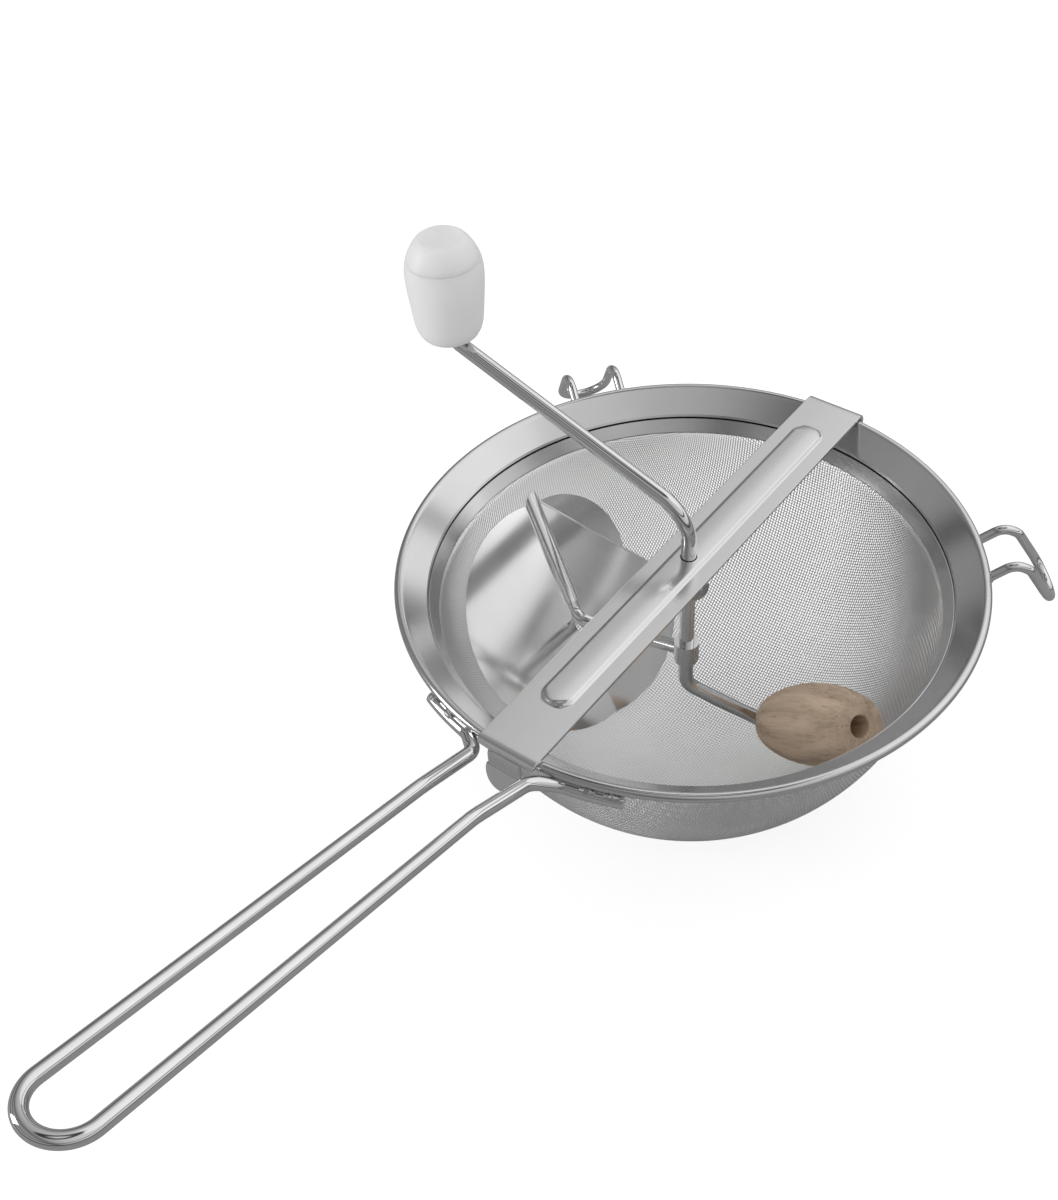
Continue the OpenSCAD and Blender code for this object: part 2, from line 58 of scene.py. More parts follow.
# ---------- dimensions, as in the part's source ----------
RIM_R, BEAD_R, RIM_T = 103.25, 1.75, 0.7
CREASE = np.array([94.0, -6.0])
SLANT = math.radians(35)
SK_IN = np.array([-math.sin(SLANT), -math.cos(SLANT)])
SK_OUT = np.array([math.cos(SLANT), -math.sin(SLANT)])
SKIRT_LEN, CLAMP_T, CLAMP_TOP, MESH_T, FLARE = 6.7, 0.6, 1.6, 0.7, 2.1
FLARE_MID = CREASE + SK_IN * (SKIRT_LEN + FLARE) + SK_OUT * (CLAMP_T + MESH_T / 2)
WALL_DIP = 2.5
BOWL_Z = FLARE_MID[1] + WALL_DIP
BOWL_MID = math.hypot(FLARE_MID[0], WALL_DIP)
BAR_HALF, BAR_T, HOOK_IN, HOOK_END = 11.4, 1.6, 2.15, 80
BAR_TOP = HOOK_IN + BAR_T
ROD_D, ELBOW_Z, CRANK_R, ARM_RISE, FOOT_Z = 5.5, 23.6, 102.3, 35.6, -62.0
KNOB_R, KNOB_H, SEAM_T = 14.0, 39.2, 31.0
KNOB_Z = ELBOW_Z + ARM_RISE + 2.4
HANDLE_D, REACH, LEG_HALF, SLOPE = 5.0, 277.15, 10.3, math.radians(13.2)
REST_D, REST_HALF, REST_ANGLE = 3.5, 9.5, 53
ROLLER_R, ROLLER_END_R, ROLLER_LEN = 15.5, 10.5, 50.0
BORE_R = 3.05
WASHER_T, SPRING_LEN, SPRING_PLAY = 1, 10.4, 0.05
ROD_BENDS = [0, 7, 17, 9, 6, 0]
HANDLE_BENDS = [0, 8, 8, 40, 0]
REST_BENDS = [0, 6, 6, 0]
REST_PATH = [(104.3, -1.6), (112.4, 4.2), (118.2, 1.2), (124.7, -9.2)]
LEG_SPREAD = 0.0068
RIM_STEPS = 320


def unit(v):
    v = np.asarray(v, float)
    return v / np.linalg.norm(v)


ROLLER_DIR = unit([37.2, -9.1, 31])
ROLLER_MID = np.array([0, 0, BOWL_Z]) + unit([52.3, 10.8, -52.2]) * (BOWL_MID - MESH_T / 2 - 0.6 - ROLLER_R)
ROLLER_IN = ROLLER_MID - ROLLER_DIR * ROLLER_LEN / 2
ROLLER_OUT = ROLLER_MID + ROLLER_DIR * ROLLER_LEN / 2


# ---------- camera ----------
FOCAL_PX, FRAME_PX, SENSOR_MM = 1588.564, 1058, 36
CAMERA_AT = (0.21704562, -0.34695043, 0.39428955)


def add_camera():
    right = Vector((0.79691852, 0.60175239, -0.05305597))
    up = Vector((-0.3967306, 0.58758179, 0.70523221))
    back = right.cross(up).normalized()
    data = bpy.data.cameras.new("camera")
    data.sensor_fit = "HORIZONTAL"
    data.sensor_width = SENSOR_MM
    data.lens = SENSOR_MM * FOCAL_PX / FRAME_PX
    data.clip_start, data.clip_end = 0.01, 50
    cam = bpy.data.objects.new("camera", data)
    rows = [[right[i], up[i], back[i], CAMERA_AT[i]] for i in range(3)]
    cam.matrix_world = Matrix(rows + [[0, 0, 0, 1]])
    bpy.context.scene.collection.objects.link(cam)
    bpy.context.scene.camera = cam


add_camera()


# ---------- node helpers ----------
class Tree:
    """Short ways to add and join nodes."""

    def __init__(self, tree):
        self.t = tree

    def add(self, kind, props=None, **values):
        n = self.t.nodes.new(kind)
        for k, v in (props or {}).items():
            setattr(n, k, v)
        for k, v in values.items():
            self.put(n.inputs[k.replace("_", " ")], v)
        return n

    def put(self, socket, v):
        if isinstance(v, bpy.types.NodeSocket):
            self.t.links.new(v, socket)
        else:
            socket.default_value = v

    def math(self, op, a, b=0.5, c=0.0):
        n = self.add("ShaderNodeMath", {"operation": op})
        for s, v in zip(n.inputs, (a, b, c)):
            self.put(s, v)
        return n.outputs[0]

    def blend(self, fac, a, b):
        """A mix of two shader nodes: a where fac is 0, b where it is 1."""
        n = self.add("ShaderNodeMixShader")
        for s, v in zip(n.inputs, (fac, a.outputs[0], b.outputs[0])):
            self.put(s, v)
        return n

    def ramp(self, fac, stops):
        n = self.add("ShaderNodeValToRGB")
        e = n.color_ramp.elements
        while len(e) < len(stops):
            e.new(0.5)
        for i, (p, c) in enumerate(stops):
            e[i].position = p
            e[i].color = (*c, 1) if isinstance(c, tuple) else (c, c, c, 1)
        self.put(n.inputs[0], fac)
        return n.outputs[0]


def group_smudge():
    """Soft patches and fine scratches on polished steel: outputs a patch value and a scratch value."""
    g = bpy.data.node_groups.new("steel_smudge", "ShaderNodeTree")
    for name, kind in (("Vector", "NodeSocketVector"), ("Patch Scale", "NodeSocketFloat"),
                       ("Fine Scale", "NodeSocketFloat")):
        g.interface.new_socket(name, in_out="INPUT", socket_type=kind)
    for name in ("Patch", "Fine"):
        g.interface.new_socket(name, in_out="OUTPUT", socket_type="NodeSocketFloat")
    t = Tree(g)
    gi, go = g.nodes.new("NodeGroupInput"), g.nodes.new("NodeGroupOutput")
    a = t.add("ShaderNodeTexNoise", Vector=gi.outputs[0], Scale=gi.outputs[1], Detail=3.0, Roughness=0.55)
    b = t.add("ShaderNodeTexNoise", Vector=gi.outputs[0], Scale=gi.outputs[2], Detail=4.0, Roughness=0.6)
    t.put(go.inputs[0], a.outputs[0])
    t.put(go.inputs[1], b.outputs[0])
    return g


SMUDGE = group_smudge()


def mesh_of(name, verts, faces, edges=()):
    """A mesh from points in mm."""
    me = bpy.data.meshes.new(name)
    me.from_pydata([tuple(v * MM for v in p) for p in verts], list(edges), faces)
    return me


def link(ob):
    bpy.context.scene.collection.objects.link(ob)
    return ob


def new_material(name):
    m = bpy.data.materials.new(name)
    m.use_nodes = True
    m.node_tree.nodes.clear()
    t = Tree(m.node_tree)
    out = t.add("ShaderNodeOutputMaterial")
    bsdf = t.add("ShaderNodeBsdfPrincipled")
    t.put(out.inputs[0], bsdf.outputs[0])
    return m, t, bsdf


def steel(name, dark, light, rough, spread, stretch=(1, 1, 1), bump=0.0, fine=900.0, patch=30.0):
    """Steel whose colour, roughness and fine relief vary over its surface."""
    m, t, bsdf = new_material(name)
    co = t.add("ShaderNodeTexCoord")
    mp = t.add("ShaderNodeMapping", Vector=co.outputs["Object"])
    mp.inputs["Scale"].default_value = stretch
    g = t.add("ShaderNodeGroup", {"node_tree": SMUDGE})
    t.put(g.inputs[0], mp.outputs[0])
    t.put(g.inputs[1], patch)
    t.put(g.inputs[2], fine)
    t.put(bsdf.inputs["Base Color"], t.ramp(g.outputs["Patch"], [(0.3, dark), (0.7, light)]))
    r = t.math("MULTIPLY_ADD", g.outputs["Patch"], spread, rough - spread / 2)
    r = t.math("MULTIPLY_ADD", g.outputs["Fine"], spread * 0.7, r)
    t.put(bsdf.inputs["Roughness"], r)
    bsdf.inputs["Metallic"].default_value = 1.0
    if bump:
        b = t.add("ShaderNodeBump", Height=g.outputs["Fine"], Strength=bump, Distance=0.0001)
        t.put(bsdf.inputs["Normal"], b.outputs[0])
    return m


BAND = steel("band_steel", 0.64, 0.71, 0.15, 0.04, bump=0.006)
BAR = steel("bar_steel", 0.70, 0.76, 0.2, 0.05, stretch=(1, 0.08, 1), bump=0.006)
WIRE = steel("wire_steel", 0.72, 0.80, 0.05, 0.03, bump=0.004)
WEAVE = steel("weave_steel", 0.82, 0.94, 0.3, 0.1)
PLAIN = steel("plain_steel", 0.60, 0.70, 0.28, 0.08)
BLADE = steel("blade_steel", 0.9, 0.96, 0.1, 0.05, bump=0.006)
WELD = steel("weld_steel", 0.36, 0.66, 0.36, 0.2, bump=0.5, fine=1400.0, patch=420.0)


def wood():
    m, t, bsdf = new_material("turned_wood")
    at = t.add("ShaderNodeAttribute", {"attribute_name": "grain"})
    mp = t.add("ShaderNodeMapping", Vector=at.outputs["Vector"])
    mp.inputs["Scale"].default_value = (1, 1, 0.06)
    fibre = t.add("ShaderNodeTexNoise", Vector=mp.outputs[0], Scale=1100.0, Detail=5.0, Roughness=0.65)
    broad = t.add("ShaderNodeTexNoise", Vector=mp.outputs[0], Scale=210.0, Detail=2.0, Roughness=0.5)
    turned = t.add("ShaderNodeMapping", Vector=at.outputs["Vector"])
    turned.inputs["Scale"].default_value = (0.2, 0.2, 1)
    rings = t.add("ShaderNodeTexNoise", Vector=turned.outputs[0], Scale=900.0, Detail=3.0)
    v = t.math("MULTIPLY_ADD", broad.outputs[0], 0.6, t.math("MULTIPLY", fibre.outputs[0], 0.4))
    col = t.ramp(v, [(0.32, (0.37, 0.265, 0.185)), (0.47, (0.56, 0.42, 0.30)), (0.62, (0.69, 0.53, 0.39))])
    pores = t.ramp(fibre.outputs[0], [(0.30, 0.62), (0.42, 1.0)])
    mix = t.add("ShaderNodeMix", {"data_type": "RGBA", "blend_type": "MULTIPLY"})
    mix.inputs[0].default_value = 1.0
    t.put(mix.inputs[6], col)
    t.put(mix.inputs[7], pores)
    t.put(bsdf.inputs["Base Color"], mix.outputs[2])
    t.put(bsdf.inputs["Roughness"], t.math("MULTIPLY_ADD", fibre.outputs[0], 0.2, 0.5))
    h = t.math("MULTIPLY_ADD", rings.outputs[0], 0.4, fibre.outputs[0])
    b = t.add("ShaderNodeBump", Height=h, Strength=0.35, Distance=0.0003)
    t.put(bsdf.inputs["Normal"], b.outputs[0])
    return m


def plastic():
    m, t, bsdf = new_material("milky_plastic")
    co = t.add("ShaderNodeTexCoord")
    n = t.add("ShaderNodeTexNoise", Vector=co.outputs["Object"], Scale=45.0, Detail=2.0)
    f = t.add("ShaderNodeTexNoise", Vector=co.outputs["Object"], Scale=1500.0, Detail=2.0)
    tint = t.ramp(n.outputs[0], [(0.3, (0.90, 0.90, 0.895)), (0.7, (0.95, 0.95, 0.945))])
    t.put(bsdf.inputs["Base Color"], tint)
    t.put(bsdf.inputs["Roughness"], t.math("MULTIPLY_ADD", n.outputs[0], 0.12, 0.34))
    bsdf.inputs["Subsurface Weight"].default_value = 0.35
    bsdf.inputs["Subsurface Radius"].default_value = (0.006, 0.006, 0.006)
    bsdf.inputs["Subsurface Scale"].default_value = 1.0
    b = t.add("ShaderNodeBump", Height=f.outputs[0], Strength=0.08, Distance=0.0001)
    t.put(bsdf.inputs["Normal"], b.outputs[0])
    return m


WOOD, PLASTIC = wood(), plastic()


# ---------- mesh helpers ----------
def piece(name, verts, faces, mat, body, replaces=(), sharp=30.0):
    """A finished piece from points in mm."""
    me = mesh_of(name, verts, faces)
    me.validate()
    return finish(name, me, mat, body, replaces, sharp)


def mend(me, dist):
    """Joins points closer than dist metres and turns all faces outward."""
    bm = bmesh.new()
    bm.from_mesh(me)
    bmesh.ops.remove_doubles(bm, verts=bm.verts, dist=dist)
    bmesh.ops.recalc_face_normals(bm, faces=bm.faces)
    bm.to_mesh(me)
    bm.free()


def tag(ob, body, replaces=()):
    """Says which body a piece rides on and which nodes it stands for."""
    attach(ob, body)
    if replaces:
        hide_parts(*replaces)
    return ob


def finish(name, me, mat, body, replaces=(), sharp=30.0):
    """Smooth, except where faces meet at more than sharp degrees."""
    mend(me, 1e-7)
    for p in me.polygons:
        p.use_smooth = True
    me.set_sharp_from_angle(angle=math.radians(sharp))
    me.materials.clear()
    me.materials.append(mat)
    return tag(link(bpy.data.objects.new(name, me)), body, replaces)


def join(*parts):
    """Several (verts, faces) as one."""
    verts, faces = [], []
    for v, f in parts:
        k = len(verts)
        verts += [tuple(p) for p in v]
        faces += [[i + k for i in q] for q in f]
    return verts, faces


def lathe(profile, steps):
    """Turns a closed outline of (r, z) about Z."""
    n = len(profile)
    verts, faces = [], []
    for i in range(steps):
        a = 2 * math.pi * i / steps
        verts += [(r * math.cos(a), r * math.sin(a), z) for r, z in profile]
    for i in range(steps):
        j = (i + 1) % steps
        for k in range(n):
            m = (k + 1) % n
            faces.append([i * n + k, j * n + k, j * n + m, i * n + m])
    return verts, faces


def place(verts, at, along=(0, 0, 1)):
    """Stands verts, made about Z, on the point at, with Z turned along the given direction."""
    w = unit(along)
    u = unit(np.cross([1, 0, 0] if abs(w[2]) > 0.99 else [0, 0, 1], w))
    v = np.cross(w, u)
    return [tuple(np.asarray(at) + u * x + v * y + w * z) for x, y, z in verts]


def fillet(points, radii, step=5.0):
    """A dense path through points, with the given bend radius at each."""
    p = [np.asarray(q, float) for q in points]
    out = [p[0]]
    for i in range(1, len(p) - 1):
        u, w = unit(p[i] - p[i - 1]), unit(p[i + 1] - p[i])
        t = math.acos(max(-1, min(1, float(u @ w))))
        if radii[i] <= 0 or t < 1e-4:
            out.append(p[i])
            continue
        n = unit(w - (w @ u) * u)
        start = p[i] - u * radii[i] * math.tan(t / 2)
        centre = start + n * radii[i]
        steps = max(3, int(math.degrees(t) / step) + 1)
        for k in range(steps + 1):
            a = t * k / steps
            out.append(centre + radii[i] * (-n * math.cos(a) + u * math.sin(a)))
    out.append(p[-1])
    return out


def sweep(path, radius, sides=24, cap=0.35):
    """A round wire along path, with a small bevel of size cap at each cut end."""
    p = [np.asarray(q, float) for q in path]
    r = list(radius) if isinstance(radius, (list, tuple)) else [radius] * len(p)
    if cap:
        a, b = unit(p[1] - p[0]), unit(p[-2] - p[-1])
        p = [p[0], p[0] + a * cap] + p[1:-1] + [p[-1] + b * cap, p[-1]]
        r = [r[0] - cap, r[0]] + r[1:-1] + [r[-1], r[-1] - cap]
    tan = []
    for i in range(len(p)):
        if i == 0:
            d = p[1] - p[0]
        elif i == len(p) - 1:
            d = p[-1] - p[-2]
        else:
            d = unit(p[i] - p[i - 1]) + unit(p[i + 1] - p[i])
        tan.append(unit(d))
    n = unit(np.cross(tan[0], [0.31, 0.22, 0.92]))
    verts, faces = [], []
    for i, q in enumerate(p):
        n = unit(n - (n @ tan[i]) * tan[i])
        b = np.cross(tan[i], n)
        for k in range(sides):
            a = 2 * math.pi * k / sides
            verts.append(q + r[i] * (n * math.cos(a) + b * math.sin(a)))
    for i in range(len(p) - 1):
        for k in range(sides):
            m = (k + 1) % sides
            faces.append([i * sides + k, i * sides + m, (i + 1) * sides + m, (i + 1) * sides + k])
    faces.append(list(range(sides - 1, -1, -1)))
    faces.append([(len(p) - 1) * sides + k for k in range(sides)])
    return verts, faces


def arc(centre, r, a, b, n):
    return [np.array([centre[0] + r * math.cos(t), centre[1] + r * math.sin(t)])
            for t in np.radians(np.linspace(a, b, n))]


# ---------- rim ----------
def rim():
    run, rise = RIM_R - CREASE[0], -CREASE[1]
    reach = math.hypot(run, rise)
    slope = math.atan2(rise, run) + math.asin(BEAD_R / reach)
    length = math.sqrt(reach ** 2 - BEAD_R ** 2)
    way = np.array([math.cos(slope), math.sin(slope)])
    under = np.array([math.sin(slope), -math.cos(slope)]) * RIM_T
    groove = CREASE + SK_OUT * (CLAMP_T + MESH_T)
    c = (RIM_R, 0)
    start = 90 + math.degrees(slope)
    out = [CREASE + way * length * k for k in (0.0, 0.04, 0.3, 0.6, 0.9)]
    out += arc(c, BEAD_R, start, -122, 44)
    out += arc(c, BEAD_R - RIM_T, -122, start - 6, 40)
    out += [CREASE + way * length * 0.8 + under, CREASE + way * 1.4 + under]
    low = groove + SK_IN * SKIRT_LEN
    out += [groove + SK_OUT * RIM_T + SK_IN * 0.8, low + SK_OUT * RIM_T - SK_IN * 0.2,
            low + SK_OUT * RIM_T * 0.7, low + SK_OUT * RIM_T * 0.3, low - SK_IN * 0.2,
            groove + SK_IN * CLAMP_TOP, CREASE + SK_IN * 0.9, CREASE + SK_IN * 0.05]
    v, f = lathe(out, RIM_STEPS)
    piece("rolled_rim", v, f, BAND, "sieve", ("rim_band",), sharp=10.5)


def clamp_ring():
    a, b = CREASE + SK_IN * CLAMP_TOP, CREASE + SK_IN * (SKIRT_LEN + 0.4)
    o = SK_OUT * CLAMP_T
    prof = [a + SK_IN * 0.1, b - SK_IN * 0.12, b + SK_OUT * 0.12, b + o * 0.6 + SK_IN * 0.3,
            b + o * 0.9 + SK_IN * 0.1, b + o, a + o, a + o * 0.2]
    v, f = lathe(prof, RIM_STEPS)
    piece("clamp_ring", v, f, BAND, "sieve", ("mesh_clamp_ring",), sharp=40)


# ---------- woven mesh ----------
PITCH, MESH_WIRE, MESH_WAVE = 1.14, 0.21, 0.135
MESH_TAIL = 4.6  # how far the weave runs on past the sphere, under the clamp ring


def net(n):
    """Knots of a square net of equal sides laid on the sphere, from the bottom out: knots[i][j] is a direction."""
    step = PITCH / BOWL_MID
    g = np.zeros((n + 1, n + 1, 3))
    for i in range(n + 1):
        g[i, 0] = (math.sin(i * step), 0, -math.cos(i * step))
        g[0, i] = (0, math.sin(i * step), -math.cos(i * step))
    for i in range(1, n + 1):
        for j in range(1, n + 1):
            m = g[i - 1, j] + g[i, j - 1]
            k = np.linalg.norm(m)
            m = m / k if k > 1e-9 else m
            g[i, j] = 2 * (g[i - 1, j - 1] @ m) * m - g[i - 1, j - 1]
    return g


def wall_point(d, lift):
    """The point of the mesh wall in direction d, lifted along the wall's normal."""
    flat = math.hypot(d[0], d[1])
    polar = math.atan2(flat, -d[2])
    limit = math.acos(WALL_DIP / BOWL_MID)
    if flat < 1e-9:
        return np.array([0, 0, BOWL_Z - BOWL_MID - lift])
    if polar <= limit:
        r, z = (BOWL_MID + lift) * math.sin(polar), BOWL_Z - (BOWL_MID + lift) * math.cos(polar)
    else:
        s = (polar - limit) * BOWL_MID
        r, z = FLARE_MID + np.array([math.sin(SLANT), math.cos(SLANT)]) * s + SK_OUT * lift
    return np.array([r * d[0] / flat, r * d[1] / flat, z])


def wires_group():
    """Geometry nodes: turns edges into round wires with a given radius, number of sides and material."""
    g = bpy.data.node_groups.new("wires_from_edges", "GeometryNodeTree")
    for name, kind in (("Geometry", "NodeSocketGeometry"), ("Wire Radius", "NodeSocketFloat"),
                       ("Sides", "NodeSocketInt"), ("Material", "NodeSocketMaterial")):
        g.interface.new_socket(name, in_out="INPUT", socket_type=kind)
    g.interface.new_socket("Geometry", in_out="OUTPUT", socket_type="NodeSocketGeometry")
    t = Tree(g)
    gi, go = g.nodes.new("NodeGroupInput"), g.nodes.new("NodeGroupOutput")
    curve = t.add("GeometryNodeMeshToCurve", Mesh=gi.outputs[0])
    ring = t.add("GeometryNodeCurvePrimitiveCircle", Resolution=gi.outputs[2], Radius=gi.outputs[1])
    tube = t.add("GeometryNodeCurveToMesh", Curve=curve.outputs[0], Profile_Curve=ring.outputs[0])
    tube.inputs["Fill Caps"].default_value = True
    real = t.add("GeometryNodeRealizeInstances", Geometry=tube.outputs[0])
    smooth = t.add("GeometryNodeSetShadeSmooth", Geometry=real.outputs[0])
    mat = t.add("GeometryNodeSetMaterial", Geometry=smooth.outputs[0], Material=gi.outputs[3])
    t.put(go.inputs[0], mat.outputs[0])
    return g


def bake(name, verts, edges, group, values):
    """Runs a geometry nodes group on loose edges and returns the plain mesh that comes out."""
    ob = link(bpy.data.objects.new(name + "_paths", mesh_of(name + "_paths", verts, [], edges)))
    mod = ob.modifiers.new("wires", "NODES")
    mod.node_group = group
    for item in group.interface.items_tree:
        if item.item_type == "SOCKET" and item.in_out == "INPUT" and item.name in values:
            mod[item.identifier] = values[item.name]
    ob.update_tag()
    bpy.context.view_layer.update()
    deps = bpy.context.evaluated_depsgraph_get()
    out = bpy.data.meshes.new_from_object(ob.evaluated_get(deps))
    ob.modifiers.clear()
    bpy.data.objects.remove(ob)
    return out


def woven_bowl():
    limit = math.acos(WALL_DIP / BOWL_MID) + MESH_TAIL / BOWL_MID
    n = int(limit * BOWL_MID / PITCH) + 2
    g = net(n)
    polar = np.arccos(np.clip(-g[:, :, 2], -1, 1))
    inside = polar <= limit
    wires = wires_group()
    # each quarter holds both directions of wire; the middle wires belong to the first quarter that meets them
    for sx, sy in ((1, 1), (-1, 1), (-1, -1), (1, -1)):
        for turn in (0, 1):
            verts, edges = [], []
            for i in range(0 if (sx if turn == 0 else sy) == 1 else 1, n + 1):
                run = []
                for j in range(0, n + 1):
                    a, b = (i, j) if turn == 0 else (j, i)
                    if not inside[a, b]:
                        break
                    d = g[a, b] * (sx, sy, 1)
                    up = 1 if ((a + b) % 2 == 0) == (turn == 0) else -1
                    run.append(wall_point(d, up * MESH_WAVE))
                if len(run) > 1:
                    k = len(verts)
                    verts += run
                    edges += [(k + q, k + q + 1) for q in range(len(run) - 1)]
            name = f"woven_wires_{'ew' if turn == 0 else 'ns'}_{'e' if sx > 0 else 'w'}{'n' if sy > 0 else 's'}"
            me = bake(name, verts, edges, wires, {"Wire Radius": MESH_WIRE * MM, "Sides": 4, "Material": WEAVE})
            me.name = name
            tag(link(bpy.data.objects.new(name, me)), "sieve", ("mesh_bowl",))


# ---------- wires ----------
FOOT_OUT = BEAD_R + HANDLE_D / 2 - 0.06
FOOT_TILT = math.radians(75)
FOOT_R, FOOT_Z0 = RIM_R + FOOT_OUT * math.cos(FOOT_TILT), -FOOT_OUT * math.sin(FOOT_TILT)
CORNER = np.array([11.3, -RIM_R - 5.95, -1.3])


def leg(y):
    return np.array([LEG_HALF - 0.06 + (-110 - y) * LEG_SPREAD, y, 41.57 - (y + REACH) * math.tan(SLOPE)])


def handle():
    def on_rim(deg):
        a = math.radians(deg)
        return np.array([FOOT_R * math.sin(a), -FOOT_R * math.cos(a), FOOT_Z0])

    start = on_rim(13)
    way = np.array([-math.cos(math.radians(13)), -math.sin(math.radians(13)), 0])
    half = [on_rim(d) for d in np.arange(22, 13, -1)]
    half += fillet([start, start + way * 4.6, CORNER, leg(CORNER[1] - 26), leg(-REACH)], HANDLE_BENDS)
    tip = leg(-REACH)
    turn = math.atan(LEG_SPREAD * math.cos(SLOPE))
    tip_r = tip[0] / math.cos(turn)
    out = np.array([0, -math.cos(SLOPE), math.sin(SLOPE)])
    centre = np.array([0, tip[1], tip[2]]) + out * tip_r * math.sin(turn) * -1
    bend = []
    for k in range(1, 44):
        a = -turn + (math.pi + 2 * turn) * k / 44
        bend.append(centre + tip_r * (np.array([1, 0, 0]) * math.cos(a) + out * math.sin(a)))
    path = half + bend + [p * (-1, 1, 1) for p in reversed(half)]
    v, f = sweep(path, HANDLE_D / 2, 28)
    piece("handle_wire", v, f, WIRE, "sieve", ("handle_loop",))


def rest(side):
    half = fillet([(r, REST_HALF, z) for r, z in REST_PATH], REST_BENDS)
    d = unit([REST_PATH[3][0] - REST_PATH[2][0], 0, REST_PATH[3][1] - REST_PATH[2][1]])
    c = np.array([REST_PATH[3][0], 0, REST_PATH[3][1]])
    bend = [c + REST_HALF * (np.array([0, 1, 0]) * math.cos(a) + d * math.sin(a))
            for a in np.linspace(0, math.pi, 30)[1:-1]]
    path = half + bend + [p * (1, -1, 1) for p in reversed(half)]
    v, f = sweep(path, REST_D / 2, 24, cap=0.2)
    turn = math.radians(90 + side * REST_ANGLE)
    c, s = math.cos(turn), math.sin(turn)
    v = [(x * c - y * s, x * s + y * c, z) for x, y, z in v]
    name = "left" if side > 0 else "right"
    piece(f"rest_wire_{name}", v, f, WIRE, "sieve", (f"rest_hook_{name}",))


def weld(deg, length, seed, body_r=1.15):
    """A small lumpy weld in the corner under the bead, at an angle from +X."""
    rng = np.random.default_rng(seed)
    rr, zz = RIM_R + BEAD_R * 1.1, -BEAD_R * 1.1
    path, rad = [], []
    for k in range(15):
        f = k / 14
        a = math.radians(deg) + (f - 0.5) * length / rr
        path.append((rr * math.cos(a), rr * math.sin(a), zz))
        swell = math.sin(math.pi * min(max(f, 0.03), 0.97)) ** 0.45
        rad.append(max(0.12, body_r * swell * (1 + 0.14 * rng.uniform(-1, 1))))
    return sweep(path, rad, 12, cap=0)


def welds():
    spots = [(-90 + s * a, 5.5, k) for s in (-1, 1) for k, a in enumerate((15.5, 20.0))]
    for s in (-1, 1):
        mid = 90 + s * REST_ANGLE
        half = math.degrees(math.asin(REST_HALF / RIM_R))
        spots += [(mid - half, 4.5, 7 + s), (mid + half, 4.5, 11 + s)]
    v, f = join(*[weld(*spot) for spot in spots])
    piece("rim_welds", v, f, WELD, "sieve")


def crank():
    foot = ROLLER_IN - ROLLER_DIR * 8.5
    end = ROLLER_OUT - ROLLER_DIR * 12
    pts = [(-CRANK_R, 0, KNOB_Z + SEAM_T - 3.5), (-CRANK_R, 0, ELBOW_Z + ARM_RISE), (0, 0, ELBOW_Z),
           (0, 0, FOOT_Z), foot, end]
    rod = sweep(fillet(pts, ROD_BENDS, 4), ROD_D / 2, 32)
    top = HOOK_IN - WASHER_T - SPRING_PLAY - SPRING_LEN - WASHER_T - 0.3
    ear = [(-2.4, -4), (2.4, -4), (4.6, -2.1), (5.2, -1.2), (5.2, -0.3),
           (4.9, 0), (-4.9, 0), (-5.2, -0.3), (-5.2, -1.2), (-4.6, -2.1)]
    n = len(ear)
    ev = [(x, y, top + z) for y in (-0.95, 0.95) for x, z in ear]
    ef = [list(range(n)), list(range(2 * n - 1, n - 1, -1))]
    ef += [[k, n + k, n + (k + 1) % n, (k + 1) % n] for k in range(n)]
    v, f = join(rod, (ev, ef))
    piece("crank_wire", v, f, WIRE, "crank", ("crank_rod",))


def spring():
    wire, r, turns, length, per_turn = 1.2, 4.9, 4.5, SPRING_LEN, 36
    base = HOOK_IN - WASHER_T - SPRING_PLAY - length
    n = int(turns * per_turn)
    e = 0.75 / turns  # the share of the wire that lies nearly flat at each end
    path = []
    for i in range(n + 1):
        f = i / n
        if f < e:
            q = f * 0.45
        elif f > 1 - e:
            q = 1 - (1 - f) * 0.45
        else:
            q = e * 0.45 + (1 - 0.9 * e) * (f - e) / (1 - 2 * e)
        z = wire / 2 + (length - wire) * q
        a = 2 * math.pi * i / per_turn
        path.append((r * math.cos(a), r * math.sin(a), base + z))
    v, f = sweep(path, wire / 2 * 0.99, 14, cap=0.1)
    piece("coil_spring", v, f, PLAIN, "thrust", ("compression_spring",))


# ---------- crossbar ----------
RIB_HALF, RIB_H = 6.3, 1.3
RIB_NEAR, RIB_FAR = -RIM_R + 20, RIM_R - 15.5
NEAR_Y, DROP_OUT = -RIM_R - 0.75, 4.2
SHOULDER_Z, SHOULDER_R = 1.7, 1.3
TONGUE_HALF, TAB_HALF, TONGUE_LEN, TAB_LEN, TAB_LEAN = 6.4, 7.2, 4.5, 7.6, math.radians(24)


def rib_height(x, y):
    """How far the pressed rib stands up at (x, y): steep rounded flanks and a low crown."""
    a, b = RIB_NEAR + RIB_HALF, RIB_FAR - RIB_HALF
    d = RIB_HALF - math.hypot(x, y - min(max(y, a), b))
    if d <= 0:
        return 0.0
    q = min(d / 1.7, 1.0)
    s = q * q * (3 - 2 * q)
    return RIB_H * (0.72 * s + 0.28 * (1 - (1 - d / RIB_HALF) ** 2))


